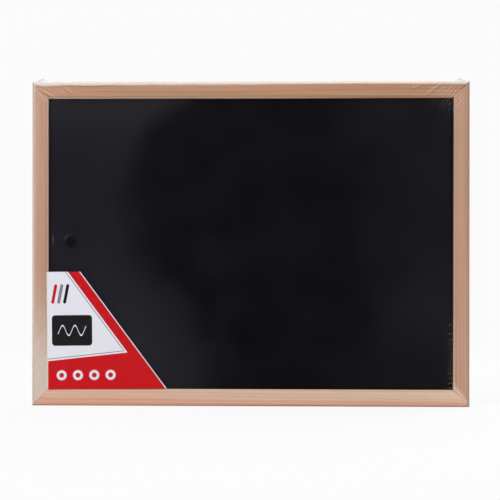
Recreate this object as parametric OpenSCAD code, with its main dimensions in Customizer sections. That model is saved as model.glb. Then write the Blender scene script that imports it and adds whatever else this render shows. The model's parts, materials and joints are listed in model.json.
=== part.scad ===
// Small framed magnetic blackboard with its corner card, hung upright on a wall.
// +X points to the right, +Z up, and the front faces -Y. Sizes are in millimetres.
// The origin is the middle of the board, on the plane of the rails' backs.

/* [Board] */
// Width over the rails
board_w = 400; // [300:1:600]
// Height over the rails
board_h = 297; // [220:1:450]

/* [Rails] */
// Width of a rail, as seen from the front
rail_face = 15.5; // [14:0.5:24]
// Radius along a rail's outer front edge
outer_round = 3; // [1:0.1:4]
// Radius along a rail's outer back edge
back_round = 0.8; // [0.3:0.1:1.5]
// Radius along a rail's inner front edge
inner_round = 1; // [0.2:0.1:1.2]
// Thickness of the lip in front of the writing sheet
front_lip = 3; // [2:0.1:5]
// Thickness of the wood behind the panel
back_lip = 5.4; // [4:0.1:9]
// Depth of the groove around the panel
groove_d = 4; // [3:0.5:6]

/* [Panel] */
// Thickness of the coated steel writing sheet
sheet_t = 0.4; // [0.3:0.1:1]
// Thickness of the hardboard glued behind the sheet
core_t = 3; // [2:0.1:6]
// Slack behind the panel in the groove
groove_play = 0.2; // [0.1:0.05:0.5]
// Slack between the panel's edges and the bottom of the groove
edge_play = 0.3; // [0.1:0.1:1]

/* [Corner nails] */
// Length of one wing of a V-shaped nail
nail_wing = 4.5; // [3:0.1:6]
// Thickness of a wing
nail_t = 0.5; // [0.3:0.1:0.8]
// Depth to which a nail is driven in from the back
nail_h = 7; // [4:0.5:9]
// Angle between the two wings
nail_angle = 100; // [80:1:130]
// Distance of the outer nail's point from the rails' outer edges
nail_inset = 3.2; // [2.5:0.1:5]
// Distance from the outer nail's point to the inner nail's, across a rail
nail_pitch = 4.2; // [3:0.1:6]
// Clearance around a nail in its slot
nail_play = 0.05; // [0.02:0.01:0.15]

/* [Hangers] */
// Distance from the top of the board down to the rings' bars
hanger_drop = 50; // [40:1:90]
// Distance from the screws' axes to the panel's groove
screw_edge = 1.8; // [1.6:0.1:3]
// Thickness of the strap's steel
strap_t = 0.7; // [0.5:0.1:1]
// Width of the strap
strap_w = 7; // [6:0.5:9]
// Gap between the strap's two folded layers
fold_gap = 0.1; // [0.05:0.05:0.3]
// Diameter of the ring's wire
wire_d = 1.6; // [1.2:0.1:2.2]
// Clearance around the wire in the strap's rolled loop
loop_play = 0.1; // [0.05:0.01:0.2]
// Clearance along the ring's bar, on each side of the strap
bar_play = 0.3; // [0.2:0.1:1]
// Bend radius at the ring's two corners, to the middle of the wire
ring_bend = 1.6; // [1.3:0.1:2.5]
// Room for a hook in the ring, beyond the strap's end
hook_room = 9; // [7:0.5:14]

/* [Hanger screws] */
// Diameter of the screw's head
head_d = 5; // [4:0.1:6]
// Height of the screw's head
head_h = 1.8; // [1.4:0.1:2.5]
// Radius of the head's domed top
head_dome = 4; // [3.4:0.1:8]
// Diameter of the screw's shank
shank_d = 2.5; // [2:0.1:3]
// Length of the screw in the wood
screw_l = 8; // [5:0.5:9]
// Length of the screw's pointed tip
tip_l = 2; // [1:0.1:3]
// Length of one bar of the cross-shaped driver recess
cross_l = 2.8; // [2:0.1:3.4]
// Width of one bar of the driver recess
cross_w = 0.8; // [0.5:0.1:1]
// Depth of the driver recess
cross_d = 1; // [0.5:0.1:1.2]
// Gap between the screw's head and the strap's rolled loop
head_gap = 0.7; // [0.3:0.1:2]
// Clearance around the shank in the strap
shank_play = 0.3; // [0.1:0.1:0.6]
// Clearance around the shank in the wood
pilot_play = 0.05; // [0.02:0.01:0.15]

/* [Corner card] */
// Length of the card's bottom edge
card_w = 109.3; // [80:0.1:140]
// Length of the card's left edge
card_h = 107.8; // [80:0.1:140]
// Length of the card's top edge, where its slanted side begins
card_top = 31; // [15:0.5:60]
// Thickness of the card
card_t = 0.4; // [0.2:0.1:0.8]
// Turn of the card in its corner, in degrees
card_turn = 0.7; // [0:0.05:1.5]
// Overlap of the card's lower corner on the left rail
card_on_left = 0.8; // [0.2:0.1:3]
// Overlap of the card's lower corner on the bottom rail
card_on_bottom = 0.8; // [0.2:0.1:3]

/* [Hidden] */
$fn = 64;

// Depths, along Y
groove_w = sheet_t + core_t + groove_play;
rail_depth = front_lip + groove_w + back_lip;
wood_back = 0;
wood_front = wood_back - rail_depth;
sheet_front = wood_front + front_lip;
core_front = sheet_front + sheet_t;

// Panel
panel_edge = rail_face - groove_d + edge_play;
panel_w = board_w - 2 * panel_edge;
panel_h = board_h - 2 * panel_edge;

// Hangers: the strap rolls around the ring's bar, and the ring hangs down around the strap
loop_in = wire_d / 2 + loop_play;
loop_out = loop_in + strap_t;
loop_y = wood_back + loop_out;
strap_back = wood_back + 2 * strap_t + fold_gap;
screw_drop = loop_out + head_gap + head_d / 2;
strap_end = screw_drop + strap_w / 2;
bar_half = strap_w / 2 + bar_play;
ring_half = bar_half + ring_bend;
ring_drop = strap_end + hook_room - (ring_half - wire_d / 2);
hanger_x = board_w / 2 - rail_face + groove_d + screw_edge;
hanger_z = board_h / 2 - hanger_drop;

// Overrun of cutting shapes past the faces that they cut
over = 1;

wood = [0.74, 0.59, 0.48];
steel = [0.72, 0.73, 0.74];

// Extrudes an outline of (X, Z) points from one depth to another
module front_prism(y_front, y_back) {
    translate([0, y_back, 0])
        rotate([90, 0, 0])
            linear_extrude(y_back - y_front)
                children();
}

// Extrudes an outline of (Y, Z) points along X, about the middle
module x_prism(length) {
    rotate([90, 0, 90])
        linear_extrude(length, center = true)
            children();
}

// What a round of radius r takes away from a square corner at the origin
module corner_waste(r) {
    difference() {
        translate([-over, -over])
            square(r + over);
        translate([r, r])
            circle(r);
    }
}

// Cross-section of a rail as (Y, Z) points, with its outer edge at Z = 0
module rail_profile() {
    difference() {
        translate([wood_front, -rail_face])
            square([rail_depth, rail_face]);
        translate([sheet_front, -rail_face - over])
            square([groove_w, groove_d + over]);
        translate([wood_front, 0])
            mirror([0, 1])
                corner_waste(outer_round);
        translate([wood_back, 0])
            rotate(180)
                corner_waste(back_round);
        translate([wood_front, -rail_face])
            corner_waste(inner_round);
    }
}

// A rail with its outer edge at Z = reach, mitred at both ends
module mitred_rail(length, reach) {
    half = length / 2;
    low = rail_face + over;
    intersection() {
        translate([0, 0, reach])
            x_prism(length + 2 * over)
                rail_profile();
        front_prism(wood_front - over, wood_back + over)
            polygon([
                [-half - over, reach + over],
                [half + over, reach + over],
                [half - low, reach - low],
                [-half + low, reach - low]
            ]);
    }
}

// One V-shaped nail seen from the front, with its point at the origin and on the mitre line
module nail_outline(play) {
    for (side = [-1, 1])
        rotate(225 + side * nail_angle / 2)
            translate([-nail_t / 2 - play, -nail_t / 2 - play])
                square([nail_wing + 2 * play, nail_t + 2 * play]);
}

// The two nails of the corner at the given signs of X and Z
module corner_nails(sx, sz, play = 0) {
    mirror([sx < 0 ? 1 : 0, 0, 0])
        mirror([0, 0, sz < 0 ? 1 : 0])
            for (inset = [nail_inset, nail_inset + nail_pitch])
                front_prism(wood_back - nail_h - play, wood_back + (play > 0 ? over : 0))
                    translate([board_w / 2 - inset, board_h / 2 - inset])
                        nail_outline(play);
}

// Slots for all the corner nails
module nail_slots() {
    for (sx = [-1, 1], sz = [-1, 1])
        corner_nails(sx, sz, nail_play);
}

// Moves a hanger piece, drawn with the ring's bar on the X axis, to one side of the board
module at_hanger(side) {
    translate([side * hanger_x, 0, hanger_z])
        children();
}

// A cylinder around a hanger screw's axis, from one depth to another
module screw_cylinder(r, y_front, y_back) {
    translate([0, y_back, -screw_drop])
        rotate([90, 0, 0])
            cylinder(r = r, h = y_back - y_front);
}

module level_rail(turn) {
    color(wood)
        difference() {
            rotate([0, turn, 0])
                mitred_rail(board_w, board_h / 2);
            nail_slots();
        }
}

module upright_rail(side) {
    color(wood)
        difference() {
            rotate([0, side * 90, 0])
                mitred_rail(board_h, board_w / 2);
            nail_slots();
            at_hanger(side)
                screw_cylinder(shank_d / 2 + pilot_play, wood_back - screw_l - pilot_play, wood_back + over);
        }
}

module top_rail() { level_rail(0); }

module bottom_rail() { level_rail(180); }

module right_rail() { upright_rail(1); }

module left_rail() { upright_rail(-1); }

module writing_sheet() {
    color([0.07, 0.07, 0.08])
        front_prism(sheet_front, core_front)
            square([panel_w, panel_h], center = true);
}

module core_board() {
    color([0.45, 0.32, 0.22])
        front_prism(core_front, core_front + core_t)
            square([panel_w, panel_h], center = true);
}

module nails(sx, sz) {
    color(steel)
        corner_nails(sx, sz);
}

module top_right_nails() { nails(1, 1); }

module bottom_right_nails() { nails(1, -1); }

module bottom_left_nails() { nails(-1, -1); }

module top_left_nails() { nails(-1, 1); }

// Side of a strap as (Y, Z) points: two layers that meet in a loop around the ring's bar
module strap_profile() {
    difference() {
        union() {
            translate([loop_y, 0])
                circle(loop_out);
            translate([wood_back, -strap_end])
                square([strap_t, strap_end]);
            translate([strap_back - strap_t, -strap_end])
                square([strap_t, strap_end - loop_in]);
        }
        translate([loop_y, 0])
            circle(loop_in);
    }
}

module strap(side) {
    color(steel)
        at_hanger(side)
            difference() {
                intersection() {
                    x_prism(strap_w)
                        strap_profile();
                    front_prism(wood_back - over, loop_y + loop_out + over)
                        union() {
                            translate([-strap_w / 2 - over, -screw_drop])
                                square([strap_w + 2 * over, screw_drop + loop_out + over]);
                            translate([0, -screw_drop])
                                circle(strap_w / 2);
                        }
                }
                screw_cylinder(shank_d / 2 + shank_play, wood_back - over, strap_back + over);
            }
}

module left_strap() { strap(-1); }

module right_strap() { strap(1); }

// A bend of the ring's wire in the XZ plane, from one angle through another
module wire_bend(radius, start, sweep) {
    rotate([90, 0, 0])
        rotate([0, 0, start])
            rotate_extrude(angle = sweep)
                translate([radius, 0])
                    circle(d = wire_d);
}

module ring(side) {
    color([0.8, 0.8, 0.78])
        at_hanger(side)
            translate([0, loop_y, 0]) {
                rotate([0, 90, 0])
                    cylinder(d = wire_d, h = 2 * bar_half, center = true);
                for (s = [-1, 1]) {
                    translate([s * bar_half, 0, -ring_bend])
                        wire_bend(ring_bend, s > 0 ? 0 : 90, 90);
                    translate([s * ring_half, 0, -ring_drop])
                        cylinder(d = wire_d, h = ring_drop - ring_bend);
                }
                translate([0, 0, -ring_drop])
                    wire_bend(ring_half, 180, 180);
            }
}

module left_ring() { ring(-1); }

module right_ring() { ring(1); }

// Half of a screw's section, from its tip up to its domed head, turned about its axis
module screw_section() {
    tip = -screw_l - strap_back + wood_back;
    polygon([[0, tip], [shank_d / 2, tip + tip_l], [shank_d / 2, 0], [0, 0]]);
    intersection() {
        square([head_d / 2, head_h]);
        translate([0, head_h - head_dome])
            circle(head_dome);
    }
}

module screw(side) {
    color(steel)
        at_hanger(side)
            translate([0, strap_back, -screw_drop])
                rotate([-90, 0, 0])
                    difference() {
                        rotate_extrude()
                            screw_section();
                        for (turn = [0, 90])
                            rotate([0, 0, turn])
                                translate([-cross_l / 2, -cross_w / 2, head_h - cross_d])
                                    cube([cross_l, cross_w, cross_d + over]);
                    }
}

module left_screw() { screw(-1); }

module right_screw() { screw(1); }

module corner_card() {
    color([0.72, 0.06, 0.09])
        translate([
            -board_w / 2 + rail_face - card_on_left, 0,
            -board_h / 2 + rail_face - card_on_bottom
        ])
            rotate([0, -card_turn, 0])
                front_prism(wood_front - card_t, wood_front)
                    polygon([[0, 0], [card_w, 0], [card_top, card_h], [0, card_h]]);
}

top_rail();
right_rail();
bottom_rail();
left_rail();
writing_sheet();
core_board();
top_right_nails();
bottom_right_nails();
bottom_left_nails();
top_left_nails();
left_strap();
right_strap();
left_ring();
right_ring();
left_screw();
right_screw();
corner_card();
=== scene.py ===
"""Looks of a small framed magnetic blackboard with its corner card, wrapped in clear film."""

import json
import math
from collections import namedtuple

import bmesh
import bpy
import numpy as np
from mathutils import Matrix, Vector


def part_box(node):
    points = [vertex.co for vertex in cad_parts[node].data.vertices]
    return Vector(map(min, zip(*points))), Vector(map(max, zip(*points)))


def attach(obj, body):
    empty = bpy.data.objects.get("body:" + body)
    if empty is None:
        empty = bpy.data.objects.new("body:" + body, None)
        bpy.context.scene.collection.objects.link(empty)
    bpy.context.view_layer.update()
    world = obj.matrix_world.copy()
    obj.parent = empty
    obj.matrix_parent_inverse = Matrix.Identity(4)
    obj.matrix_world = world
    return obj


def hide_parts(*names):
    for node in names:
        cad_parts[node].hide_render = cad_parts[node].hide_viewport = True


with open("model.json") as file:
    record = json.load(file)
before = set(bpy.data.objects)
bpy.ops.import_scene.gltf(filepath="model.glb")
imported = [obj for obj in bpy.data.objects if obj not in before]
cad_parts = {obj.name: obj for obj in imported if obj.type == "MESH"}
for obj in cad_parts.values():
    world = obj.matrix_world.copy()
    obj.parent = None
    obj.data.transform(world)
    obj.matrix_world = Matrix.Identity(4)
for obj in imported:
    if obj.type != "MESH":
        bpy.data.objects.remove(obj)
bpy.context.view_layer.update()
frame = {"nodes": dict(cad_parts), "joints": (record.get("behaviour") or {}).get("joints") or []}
MM = 0.001


def mm(*lengths):
    """Lengths in millimetres, as metres."""
    return np.array(lengths) * MM


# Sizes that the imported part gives, in metres
HALF_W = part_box("right_rail")[1].x
HALF_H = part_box("top_rail")[1].z
WOOD_FRONT, WOOD_BACK = (corner.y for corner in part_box("top_rail"))
RAIL_FACE = HALF_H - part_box("top_rail")[0].z
SHEET_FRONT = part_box("writing_sheet")[0].y
CORE_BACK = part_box("core_board")[1].y
PANEL_INSET = HALF_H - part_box("writing_sheet")[1].z

# Rail moulding
OUTER_ROUND = 3.0 * MM
INNER_ROUND = 1.0 * MM
BACK_ROUND = 0.8 * MM
GROOVE_PLAY = 0.2 * MM
EDGE_PLAY = 0.3 * MM
MITRE_EASE = 0.15 * MM
MITRE_EASE_RUN = 4
NAIL_PROUD = 0.03 * MM
SUPPORT = 0.4 * MM

# Each rail's way outwards and lengthwise as (X, Z), how far out it reaches, and half its length
RAIL_WAYS = {
    "top_rail": ((0, 1), (1, 0), HALF_H, HALF_W),
    "right_rail": ((1, 0), (0, -1), HALF_W, HALF_H),
    "bottom_rail": ((0, -1), (-1, 0), HALF_H, HALF_W),
    "left_rail": ((-1, 0), (0, 1), HALF_W, HALF_H),
}

# Hangers
STRAP_T = 0.7 * MM
STRAP_EDGE = 0.12 * MM
STRAP_BACK = 1.5 * MM
STRAP_JOIN = 1.4 * MM
STRAP_LOOP_END = -95
RING_BEND = 1.6 * MM
HEAD_DOME = 4.0 * MM
HEAD_H = 1.8 * MM
HEAD_EDGE = 0.1 * MM
SHANK_R = 1.25 * MM
TIP_L = 2.0 * MM
TIP_R = 0.05 * MM
CROSS_HALF_L = 1.4 * MM
CROSS_HALF_W = 0.4 * MM
CROSS_D = 1.0 * MM
CROSS_SOFT = 0.12 * MM

# Film
FILM_GAP = 0.12 * MM
FILM_LAP = 4.5 * MM
FILM_LAP_SWAY = 0.6 * MM
FILM_SHARP = 70
VENT_AT = mm(-163.7, 1.6)
VENT_R = 5.7 * MM
VENT_FIELD = 8.5 * MM
RIDGE_H = 0.16 * MM
VENT_RIM_H = 0.12 * MM

# Ears of film along the top edge: middle, half width and height in mm; height of full haze
EARS = ((-191.5, 7.0, 3.0), (178.0, 22.0, 0.7), (192.5, 7.0, 3.1))
EAR_HAZY_H = 0.5 * MM

# Haze of the film: the share of what lies behind it that it hides. Beside the film's own haze, it carries
# painted highlights, painted sheen and painted shade
CLEAR_HAZE = 0.001
RAIL_HAZE = 0.008
PANEL_HAZE = 0.003
VENT_HAZE_AND_SHEEN = 0.018
RIGHT_SHEEN = 0.0055
# Painted sheen on the bottom rail, and painted highlight on the left rail beside the card
FOOT_SHEEN = 0.1
CARD_SIDE_HIGHLIGHT = 0.38
CARD_SIDE_WARM_HIGHLIGHT = 0.09
# Seams along the top and left edges: doubled film haze, and painted highlight where the film follows the
# rounded edges
TOP_SEAM_HAZE_AND_HIGHLIGHT = 0.55
LEFT_SEAM_HAZE_AND_HIGHLIGHT = 0.36
SKIRT_HAZE = 0.03
# Painted highlight on the folds' ridges, and painted shade in the creases and under the top seam
RIDGE_HIGHLIGHT = 0.42
CREASE_SHADE = 0.28
HATCH_HIGHLIGHT = 0.2
PANEL_HATCH_HIGHLIGHT = 0.1
TICK_HIGHLIGHT = 0.13
INNER_HIGHLIGHT_HAZE = 0.22
INNER_SHADE_HAZE = 0.24
GLINT_HAZE = 0.1
MITRE_HIGHLIGHT = 0.42
VENT_RIM_HIGHLIGHT = 0.01
VENT_GLANCE_HIGHLIGHT = 0.06
EAR_HAZE = 0.5

# Main folds at the top corners: start and end as (X, Z) in mm, and their strength
FOLDS = (
    ((-197, 144), (-175, 132), 1.0),
    ((-198, 142), (-185, 128), 0.8),
    ((-199, 140), (-188, 128), 0.6),
    ((-179, 143), (-170, 136), 0.4),
    ((-172, 144), (-162, 137.5), 1.0),
    ((158, 134.5), (173, 145.5), 1.0),
    ((161, 140), (175, 146), 0.7),
    ((145, 141), (157, 146), 0.6),
    ((169, 136), (180, 146), 0.4),
)

# Camera, fitted to the board's corners in the picture
CAMERA_AT = mm(52.3, -1600, -7.4)
CAMERA_TURN = (90.061, -0.061, 1.885)
CAMERA_LENS = 125.29


def srgb(red, green, blue):
    """Linear colour of an 8-bit display colour."""
    share = np.array([red, green, blue]) / 255
    linear = np.where(share <= 0.04045, share / 12.92, ((share + 0.055) / 1.055) ** 2.4)
    return tuple(linear.tolist())


def math_method(operation, swapped=False):
    """A method that adds a Math node, with its two inputs in turn or swapped."""
    def method(self, other=0.0):
        first, second = (other, self) if swapped else (self, other)
        return self.tree.node("ShaderNodeMath", {0: first, 1: second}, operation=operation)
    return method


class Wire:
    """An output socket of a node tree: arithmetic on it adds Math nodes."""
    __add__ = math_method("ADD")
    __radd__ = math_method("ADD", swapped=True)
    __sub__ = math_method("SUBTRACT")
    __rsub__ = math_method("SUBTRACT", swapped=True)
    __mul__ = math_method("MULTIPLY")
    __truediv__ = math_method("DIVIDE")
    __pow__ = math_method("POWER")
    __abs__ = math_method("ABSOLUTE")
    fraction = math_method("FRACT")
    sine = math_method("SINE")
    least = math_method("MINIMUM")
    most = math_method("MAXIMUM")

    def __init__(self, tree, socket):
        self.tree = tree
        self.socket = socket

    def rise(self, low, high):
        """Smooth step from 0 at low to 1 at high."""
        bounds = {"Value": self, "From Min": low, "From Max": high}
        return self.tree.node("ShaderNodeMapRange", bounds, interpolation_type="SMOOTHSTEP")

    def shown(self, low, high, share):
        """Smooth step from 0 at low to a share at high."""
        return self.rise(low, high) * share

    def parts(self):
        """The three parts of a vector."""
        return self.tree.node("ShaderNodeSeparateXYZ", {0: self}, out=None)


class Tree:
    """A material's or the world's nodes, written as expressions on wires."""

    def __init__(self, owner):
        self.owner = owner
        owner.use_nodes = True
        self.nodes = owner.node_tree.nodes
        self.links = owner.node_tree.links
        self.nodes.clear()

    def node(self, kind, sockets, out=0, **settings):
        """Adds a node, sets it up and fills or links its sockets; out None gives all its outputs."""
        made = self.nodes.new(kind)
        for name, value in settings.items():
            setattr(made, name, value)
        for key, value in sockets.items():
            if isinstance(value, Wire):
                self.links.new(value.socket, made.inputs[key])
            elif made.inputs[key].type == "RGBA":
                made.inputs[key].default_value = (*value, 1.0)
            else:
                made.inputs[key].default_value = value
        outputs = [Wire(self, socket) for socket in made.outputs]
        return outputs if out is None else outputs[out] if outputs else made

    def place(self):
        """Object coordinates, in metres."""
        return self.node("ShaderNodeTexCoord", {}, out=3)

    def attribute(self, name, out):
        """A colour (output 0) or a value (output 2) that the mesh holds at its points."""
        return self.node("ShaderNodeAttribute", {}, out, attribute_name=name)

    def vector(self, x, y, z):
        """A vector of three parts."""
        return self.node("ShaderNodeCombineXYZ", {0: x, 1: y, 2: z})

    def noise(self, vector, scale, detail=2.0, rough=0.5):
        """Soft noise from 0 to 1."""
        sockets = {"Vector": vector, "Scale": scale, "Detail": detail, "Roughness": rough}
        return self.node("ShaderNodeTexNoise", sockets)

    def streaked_noise(self, parts, scales, detail, rough=0.5):
        """Noise with a scale of its own along each axis."""
        drawn_out = self.vector(*[part * scale for part, scale in zip(parts, scales)])
        return self.noise(drawn_out, 1.0, detail, rough)

    def blend(self, share, first, second):
        """Colour that goes from first to second as share goes from 0 to 1."""
        sockets = {0: share, 6: first, 7: second}
        return self.node("ShaderNodeMix", sockets, out=2, data_type="RGBA")

    def bump(self, height, distance, strength):
        """A normal tilted by a height, which stands for a distance where it is 1."""
        sockets = {"Height": height, "Distance": distance, "Strength": strength}
        return self.node("ShaderNodeBump", sockets)

    def finish(self, sockets):
        """Ends a material in one Principled shader, and gives it."""
        shader = self.node("ShaderNodeBsdfPrincipled", sockets)
        self.node("ShaderNodeOutputMaterial", {0: shader})
        return self.owner


def new_material(name):
    """The tree of a new material."""
    return Tree(bpy.data.materials.new(name))


# Finishes

# Each rail's pale and deep wood, the redder heartwood along its outer edge, how much painted shade darkens
# its outer edge, how far its mitres are open at the lower or left and the upper or right end, and the
# width of painted shade along its inner edge
Wood = namedtuple("Wood", "pale deep heart heart_w heart_slope heart_share edge_share open_mitres lip_w")
WOOD = {
    "top_rail": Wood(
        srgb(182, 140, 110), srgb(158, 113, 81), srgb(196, 146, 122), 4.5 * MM, -0.006, 0.45,
        0.0, (0.3, 0.8), 0.0),
    "right_rail": Wood(
        srgb(184, 147, 124), srgb(169, 130, 106), srgb(180, 132, 112), 1.6 * MM, 0.0, 0.4,
        0.1, (0.1, 0.6), 0.85 * MM),
    "bottom_rail": Wood(
        srgb(221, 189, 163), srgb(207, 168, 143), srgb(206, 152, 126), 6.0 * MM, -0.008, 0.8,
        0.35, (0.3, 0.1), 0.0),
    "left_rail": Wood(
        srgb(194, 156, 135), srgb(174, 134, 110), srgb(190, 150, 130), 0.5 * MM, 0.0, 0.2,
        0.0, (0.2, 0.4), 0.35 * MM),
}
# Dark of the open mitre gaps, also used as painted shade along the rails' outer edges
GAP_DARK_AND_ARRIS_SHADE = srgb(92, 58, 42)
WOOD_FLUSH = srgb(200, 148, 125)
WOOD_LATE = srgb(142, 92, 64)
# Painted shade along the inner edges of the left and right rails, where their inner faces lie in shade
LIP_SHADE = srgb(26, 12, 10)
LIP_SHADE_SHARE = 0.95
LIP_SHADE_SLOPE = 0.0025
LIP_SHADE_SOFT = 0.15 * MM
RING_SPACING = 3.4 * MM
RING_SLOPE = 0.006
RING_TILT = 0.7
RING_SWAY = 2.6 * MM
LATEWOOD_START = (0.45, 0.9)
LATEWOOD_END = (0.92, 1.0)
HEART_SWAY = 1.5 * MM
ARRIS_SHADE_W = mm(0.3, 1.3)
MITRE_GAP_W = mm(0.3, 1.1)
MITRE_GAP_L = mm(6.5, 9.5)
WOOD_SEED = 3.7
WOOD_SEED_STEP = 11.3

# Noises of the wood: their scale along the rail and across it, and their detail
FIBRES = {
    "broad": (1.4, 75.0, 2.0),
    "bands": (2.2, 130.0, 2.0),
    "streaks": (7.0, 520.0, 3.0),
    "hairs": (40.0, 2600.0, 2.0),
    "sway": (3.0, 60.0, 1.0),
}

# Where a noise starts to show, where it shows in full, and its share of colour there
BROAD_SHOWN = (0.36, 0.64, 0.55)
STREAKS_SHOWN = (0.38, 0.62, 0.45)
BANDS_SHOWN = (0.48, 0.66, 0.3)
HAIRS_SHOWN = (0.52, 0.8, 0.18)
LATEWOOD_SHARE = 0.14

# Relief of the wood
HAIRS_RISE = 0.6
STREAKS_RISE = 0.4
LATEWOOD_DROP = 0.2


def wood_finish(rail, seed):
    """Satin pine: slow pink bands, growth rings and fine fibres that run along the rail."""
    tree = new_material(rail + "_pine")
    x, y, z = tree.place().parts()
    along, across = (x, z) if rail in ("top_rail", "bottom_rail") else (z, x)
    wood = WOOD[rail]
    reach, half = RAIL_WAYS[rail][2:]

    def fibres(stretch, fineness, detail):
        """Noise drawn out along the rail."""
        lengthwise = tree.vector(along * stretch + seed, across * fineness, y * fineness)
        return tree.noise(lengthwise, 1.0, detail)

    broad, bands, streaks, hairs, sway = (fibres(*scales) for scales in FIBRES.values())
    depth_in_tree = across + y * RING_TILT + along * RING_SLOPE + sway * RING_SWAY
    ring = (depth_in_tree / RING_SPACING).fraction()
    latewood = ring.rise(*LATEWOOD_START) * (1 - ring.rise(*LATEWOOD_END))

    tone = broad.shown(*BROAD_SHOWN) + streaks.shown(*STREAKS_SHOWN)
    colour = tree.blend(tone, wood.pale, wood.deep)
    colour = tree.blend(bands.shown(*BANDS_SHOWN), colour, WOOD_FLUSH)
    inset = reach - abs(across)
    heart_edge = inset - along * wood.heart_slope - sway * HEART_SWAY
    heart = 1 - heart_edge.rise(wood.heart_w - HEART_SWAY, wood.heart_w)
    colour = tree.blend(heart * wood.heart_share, colour, wood.heart)
    # Painted shade along the outer edge, on the rails that face away from the light
    arris_shade = (1 - inset.rise(*ARRIS_SHADE_W)) * wood.edge_share
    low_end, high_end = wood.open_mitres
    opening = low_end + along.rise(-half / 2, half / 2) * (high_end - low_end)
    from_mitre = half - inset - abs(along)
    mitre = (1 - from_mitre.rise(*MITRE_GAP_W)) * (1 - inset.rise(*MITRE_GAP_L)) * opening
    colour = tree.blend(arris_shade.most(mitre), colour, GAP_DARK_AND_ARRIS_SHADE)
    colour = tree.blend(latewood * LATEWOOD_SHARE + hairs.shown(*HAIRS_SHOWN), colour, WOOD_LATE)
    # Painted shade along the rail's inner edge, in front of the sheet
    if wood.lip_w:
        from_lip_shade = inset + along * LIP_SHADE_SLOPE + wood.lip_w - RAIL_FACE
        in_front = 1 - y.rise(SHEET_FRONT, CORE_BACK)
        lip_shade = from_lip_shade.rise(-LIP_SHADE_SOFT, LIP_SHADE_SOFT) * in_front * LIP_SHADE_SHARE
        colour = tree.blend(lip_shade, colour, LIP_SHADE)
    relief = hairs * HAIRS_RISE + streaks * STREAKS_RISE - latewood * LATEWOOD_DROP
    return tree.finish({
        "Base Color": colour,
        "Roughness": 0.4 + hairs * 0.16,
        "Specular IOR Level": 0.25,
        "Normal": tree.bump(relief, distance=0.05 * MM, strength=0.5),
    })


# Painted sheen over the left part of the panel, standing in for a soft reflection of the light. Its edge
# is upright halfway up, bows to the right above that, and widens and softens between two heights into a
# foot; it is thicker there and at its head.
SHEEN_EDGE = -110 * MM
SHEEN_BOW_FROM = 40 * MM
SHEEN_BOW_RUN = 87 * MM
SHEEN_BOW = 42 * MM
SHEEN_FOOT = mm(-105, 17)
SHEEN_FOOT_W = 55 * MM
SHEEN_HEAD = mm(75, 140)
SHEEN_WANDER = 30 * MM
SHEEN_SOFT = 20 * MM
SHEEN_FOOT_SOFT = 35 * MM
SHEEN_SHARE = 0.41
SHEEN_END_SHARE = 0.4
SHEEN_VENT_SHARE = 0.27
VENT_CLOUD = mm(10, 24)

# Fainter patches of painted sheen elsewhere: X, Z and radius in mm, and share
SHEEN_PATCHES = ((110, 132, 55, 0.16), (160, -60, 60, 0.14), (-38, -8, 32, 0.12))


def painted_sheen_share(x, z, clouds):
    """Share of painted sheen over the coat: left of a wandering edge, less around the vent, and in
    patches.
    """
    foot = 1 - z.rise(*SHEEN_FOOT)
    bow = ((z - SHEEN_BOW_FROM) / SHEEN_BOW_RUN).most(0.0) ** 3 * SHEEN_BOW
    edge = SHEEN_EDGE + bow + foot * SHEEN_FOOT_W + (clouds - 0.5) * SHEEN_WANDER
    soft = SHEEN_SOFT + foot * SHEEN_FOOT_SOFT
    cover = 1 - ((x - edge) / soft).rise(-1.0, 1.0)
    thick = SHEEN_SHARE + (foot + z.rise(*SHEEN_HEAD)) * SHEEN_END_SHARE

    def away(at_x, at_z):
        """Distance from a place on the panel."""
        return ((x - at_x) ** 2 + (z - at_z) ** 2) ** 0.5

    by_vent = SHEEN_VENT_SHARE + away(*VENT_AT).rise(*VENT_CLOUD) * (1 - SHEEN_VENT_SHARE)
    share = cover * thick * by_vent
    for at_x, at_z, radius, patch in SHEEN_PATCHES:
        share = share + (1 - away(at_x * MM, at_z * MM).rise(0.0, radius * MM)) * patch
    return share


CLOUDS_RANGE = (0.33, 0.67)
GRAIN_RANGE = (0.4, 0.75)
GRAIN_SCALES = (520, 900, 900)
SPECK_RANGE = (0.02, 0.06)
SPECKS_SHOWN = (0.52, 0.6, 0.12)


def slate_finish():
    """Matt black coat on steel: a fine grain, clouds, a painted sheen at the left and a few specks of
    dust.
    """
    tree = new_material("slate_coat")
    place = tree.place()
    x, y, z = place.parts()
    clouds = tree.noise(place, scale=28.0, detail=5.0, rough=0.6)
    peel = tree.noise(place, scale=1900.0)
    grain = tree.streaked_noise((x, y, z), GRAIN_SCALES, detail=2.0)
    dust = tree.node("ShaderNodeTexVoronoi", {"Vector": place, "Scale": 55.0})
    rarity = tree.noise(place, scale=31.0, detail=1.0)
    specks = (1 - dust.rise(*SPECK_RANGE)) * rarity.shown(*SPECKS_SHOWN)
    colour = tree.blend(clouds.rise(*CLOUDS_RANGE), srgb(1, 1, 3), srgb(12, 12, 16))
    colour = tree.blend(grain.rise(*GRAIN_RANGE), colour, srgb(15, 15, 20))
    # Painted sheen, lighter where a reflection of the light would fall
    colour = tree.blend(painted_sheen_share(x, z, clouds), colour, srgb(40, 39, 45))
    colour = tree.blend(specks, colour, srgb(120, 122, 125))
    return tree.finish({
        "Base Color": colour,
        "Roughness": 0.6 + clouds * 0.15,
        "Specular IOR Level": 0.025,
        "Normal": tree.bump(peel, distance=0.02 * MM, strength=0.6),
    })


SCREEN_PITCH = 1.5 * MM
BLOTCH_RANGE = (0.25, 0.75)
FIBRE_SCALES = (700, 700, 1100)
FIBRE_SHOWN = (0.5, 0.75, 0.35)
CHIP_SCALES = (900, 900, 520)
CHIPS_SHOWN = (0.62, 0.74, 0.3)
PIT_RANGE = (-1.0, 0.2)
PIT_SHARE = 0.22
WEAVE_RISE = 0.7


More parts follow.
